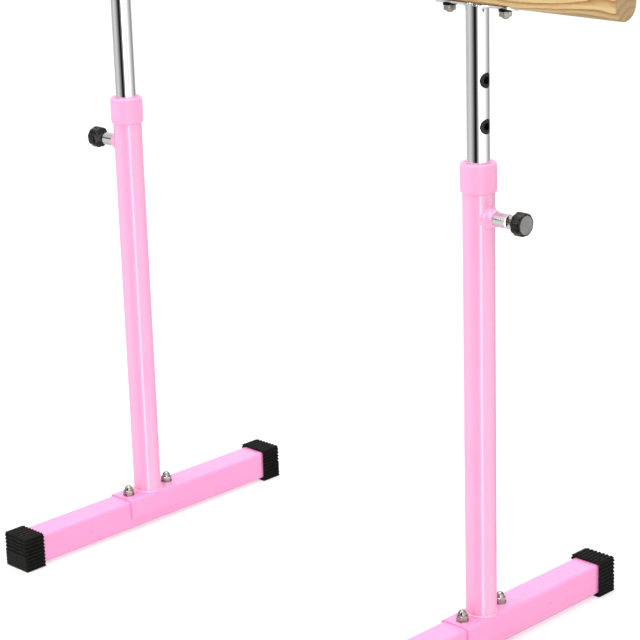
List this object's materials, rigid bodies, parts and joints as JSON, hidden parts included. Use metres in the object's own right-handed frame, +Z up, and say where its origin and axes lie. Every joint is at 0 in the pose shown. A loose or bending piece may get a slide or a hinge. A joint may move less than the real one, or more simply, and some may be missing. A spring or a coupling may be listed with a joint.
{
  "type": "ballet barre",
  "caption": "Freestanding height-adjustable barre: a round wooden bar on telescoping steel legs with spring-pin locks and rubber-capped feet.",
  "frame": {"origin": "on the floor, midway between the two legs and midway along the feet", "axes": "+X along the wooden bar, +Y towards the rear, +Z up"},
  "size_m": [1.032, 0.471, 0.825],
  "materials": {
    "pink_paint": "glossy pink powder coat",
    "pink_plastic": "smooth pink plastic",
    "black_rubber": "matte ribbed rubber",
    "black_plastic": "satin black plastic",
    "white_plastic": "natural nylon",
    "chrome_plate": "polished chrome plate",
    "zinc_steel": "bright zinc plate",
    "disc_metal": "plain satin disc",
    "pine_wood": "clear-lacquered pine"
  },
  "bodies": {
    "base": {"left_foot_tube": "pink_paint", "left_front_foot_cap": "black_rubber", "left_rear_foot_cap": "black_rubber", "left_saddle_bracket": "pink_paint", "left_saddle_bolts": "zinc_steel", "left_saddle_washers": "zinc_steel", "left_saddle_nuts": "zinc_steel", "left_upright_tube": "pink_paint", "left_collar": "pink_plastic", "left_plunger_boss": "pink_paint", "left_plunger_barrel": "chrome_plate", "left_plunger_spring": "zinc_steel", "right_foot_tube": "pink_paint", "right_front_foot_cap": "black_rubber", "right_rear_foot_cap": "black_rubber", "right_saddle_bracket": "pink_paint", "right_saddle_bolts": "zinc_steel", "right_saddle_washers": "zinc_steel", "right_saddle_nuts": "zinc_steel", "right_upright_tube": "pink_paint", "right_collar": "pink_plastic", "right_plunger_boss": "pink_paint", "right_plunger_barrel": "chrome_plate", "right_plunger_spring": "zinc_steel"},
    "bar": {"wooden_bar": "pine_wood", "left_inner_tube": "chrome_plate", "left_hole_bushes": "black_plastic", "left_inner_tube_glide": "white_plastic", "left_bar_cradle": "chrome_plate", "left_cradle_bolts": "zinc_steel", "left_cradle_washers": "black_rubber", "left_cradle_nuts": "zinc_steel", "right_inner_tube": "chrome_plate", "right_hole_bushes": "black_plastic", "right_inner_tube_glide": "white_plastic", "right_bar_cradle": "chrome_plate", "right_cradle_bolts": "zinc_steel", "right_cradle_washers": "black_rubber", "right_cradle_nuts": "zinc_steel"},
    "left_plunger": {"left_plunger_pin": "zinc_steel", "left_plunger_knob": "black_plastic", "left_knob_disc": "disc_metal"},
    "right_plunger": {"right_plunger_pin": "zinc_steel", "right_plunger_knob": "black_plastic", "right_knob_disc": "disc_metal"}
  },
  "joints": [
    {"name": "bar_height", "type": "slide", "parent": "base", "child": "bar", "axis": [0, 0, 1], "range_m": [-0.159, 0.159]},
    {"name": "left_pin_pull", "type": "slide", "parent": "base", "child": "left_plunger", "axis": [-1, 0, 0], "range_m": [0, 0.0085], "stiffness_N_per_m": 600, "springref_m": -0.008, "deforming": ["left_plunger_spring"]},
    {"name": "right_pin_pull", "type": "slide", "parent": "base", "child": "right_plunger", "axis": [1, 0, 0], "range_m": [0, 0.0085], "stiffness_N_per_m": 600, "springref_m": -0.008, "deforming": ["right_plunger_spring"]}
  ]
}
